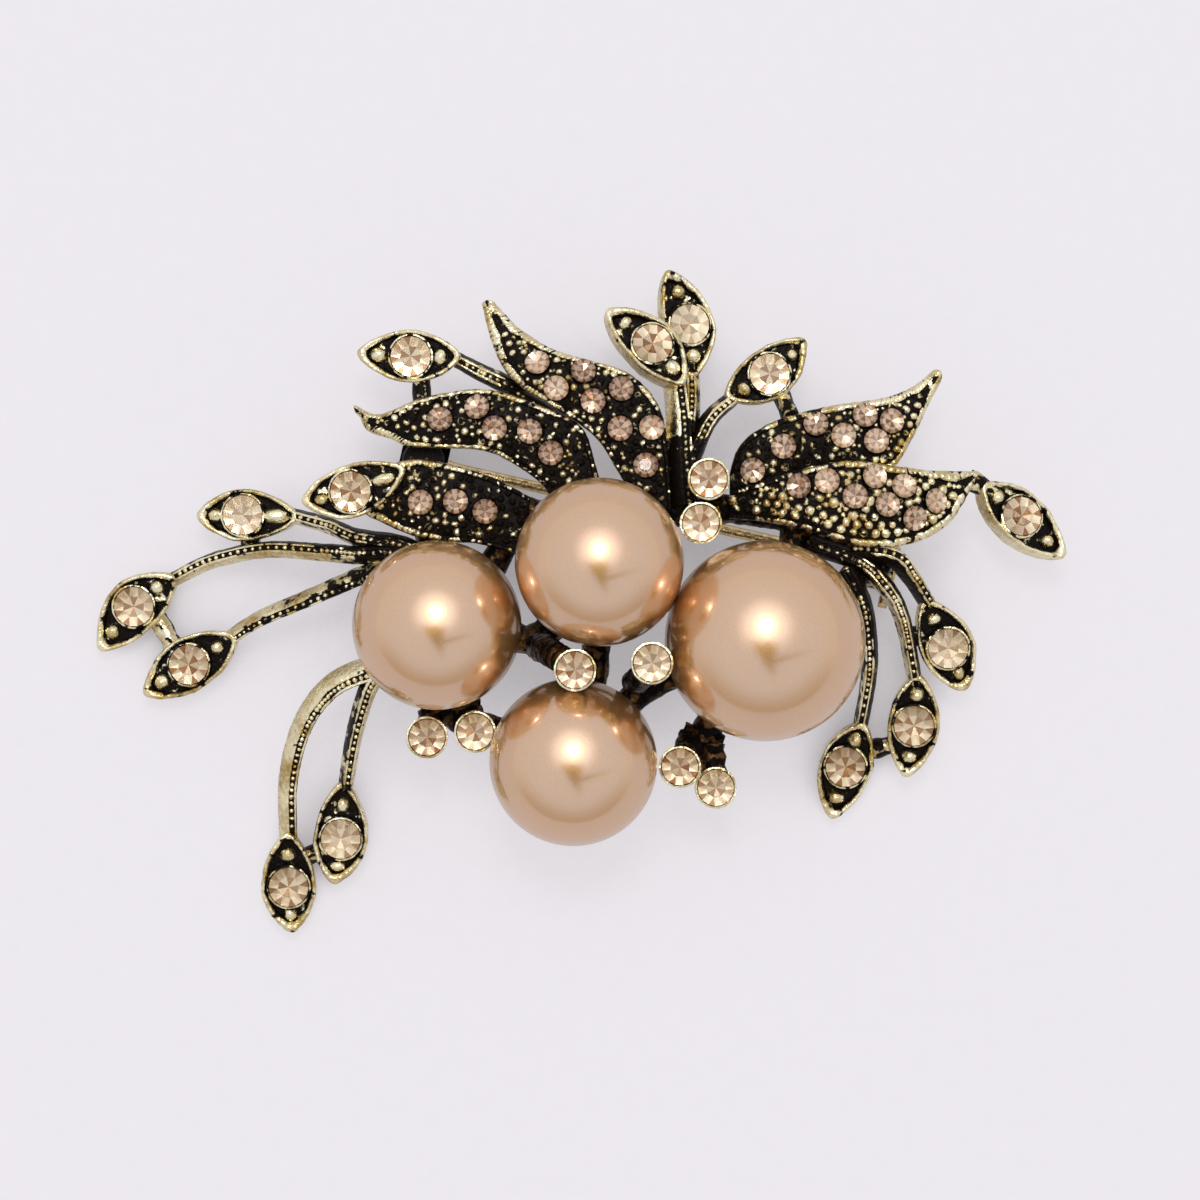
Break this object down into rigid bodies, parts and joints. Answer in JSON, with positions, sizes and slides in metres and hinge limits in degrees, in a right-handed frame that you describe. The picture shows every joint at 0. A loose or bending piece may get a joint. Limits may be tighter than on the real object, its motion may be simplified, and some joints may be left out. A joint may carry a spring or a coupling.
{
  "type": "brooch",
  "caption": "Spray brooch of round pearls on an openwork gilt casting with stone-set leaves and marquise buds, a hinged pin and a roll-over catch on the back.",
  "frame": {"origin": "centre of the bounding box's underside, on the table the brooch lies on", "axes": "+Z out of the face of the brooch, towards the viewer; +X to the right and +Y up as the brooch is seen from the front"},
  "size_m": [0.0695, 0.0478, 0.0213],
  "materials": {
    "antique_gold": "antiqued gold plate, dark in the recesses",
    "trellis_gold": "dark antiqued bronze plate",
    "pearl_coat": "champagne pearl coating with a high lustre",
    "champagne_glass": "foil-backed faceted glass",
    "gilt_pin": "gilt steel wire"
  },
  "bodies": {
    "brooch": {"trellis": "trellis_gold", "leaf_left_low": "antique_gold", "leaf_left_mid": "antique_gold", "leaf_top": "antique_gold", "leaf_right_high": "antique_gold", "leaf_right_low": "antique_gold", "sprig_left": "antique_gold", "sprig_lower_left": "antique_gold", "sprig_top": "antique_gold", "sprig_right": "antique_gold", "collet_1": "antique_gold", "collet_2": "antique_gold", "collet_3": "antique_gold", "collet_4": "antique_gold", "collet_5": "antique_gold", "collet_6": "antique_gold", "collet_7": "antique_gold", "collet_8": "antique_gold", "collet_stone_1": "champagne_glass", "collet_stone_2": "champagne_glass", "collet_stone_3": "champagne_glass", "collet_stone_4": "champagne_glass", "collet_stone_5": "champagne_glass", "collet_stone_6": "champagne_glass", "collet_stone_7": "champagne_glass", "collet_stone_8": "champagne_glass", "cup_stone_01": "champagne_glass", "cup_stone_02": "champagne_glass", "cup_stone_03": "champagne_glass", "cup_stone_04": "champagne_glass", "cup_stone_05": "champagne_glass", "cup_stone_06": "champagne_glass", "cup_stone_07": "champagne_glass", "cup_stone_08": "champagne_glass", "cup_stone_09": "champagne_glass", "cup_stone_10": "champagne_glass", "cup_stone_11": "champagne_glass", "cup_stone_12": "champagne_glass", "cup_stone_13": "champagne_glass", "cup_stone_14": "champagne_glass", "pearl_left": "pearl_coat", "pearl_top": "pearl_coat", "pearl_right": "pearl_coat", "pearl_bottom": "pearl_coat", "hinge_base": "antique_gold", "hinge_rivet": "gilt_pin", "catch_base": "antique_gold"},
    "pin": {"pin_stem": "gilt_pin"},
    "lock": {"catch_lock": "gilt_pin"}
  },
  "joints": [
    {"name": "pin_hinge", "type": "hinge", "parent": "brooch", "child": "pin", "pos_m": [-0.0113, 0.0102, 0.0018], "axis": [0.2218, 0.9751, 0], "range_deg": [0, 105]},
    {"name": "catch_turn", "type": "hinge", "parent": "brooch", "child": "lock", "pos_m": [0.0208, 0.0029, 0.0018], "axis": [-0.9751, 0.2218, 0], "range_deg": [0, 100]}
  ]
}
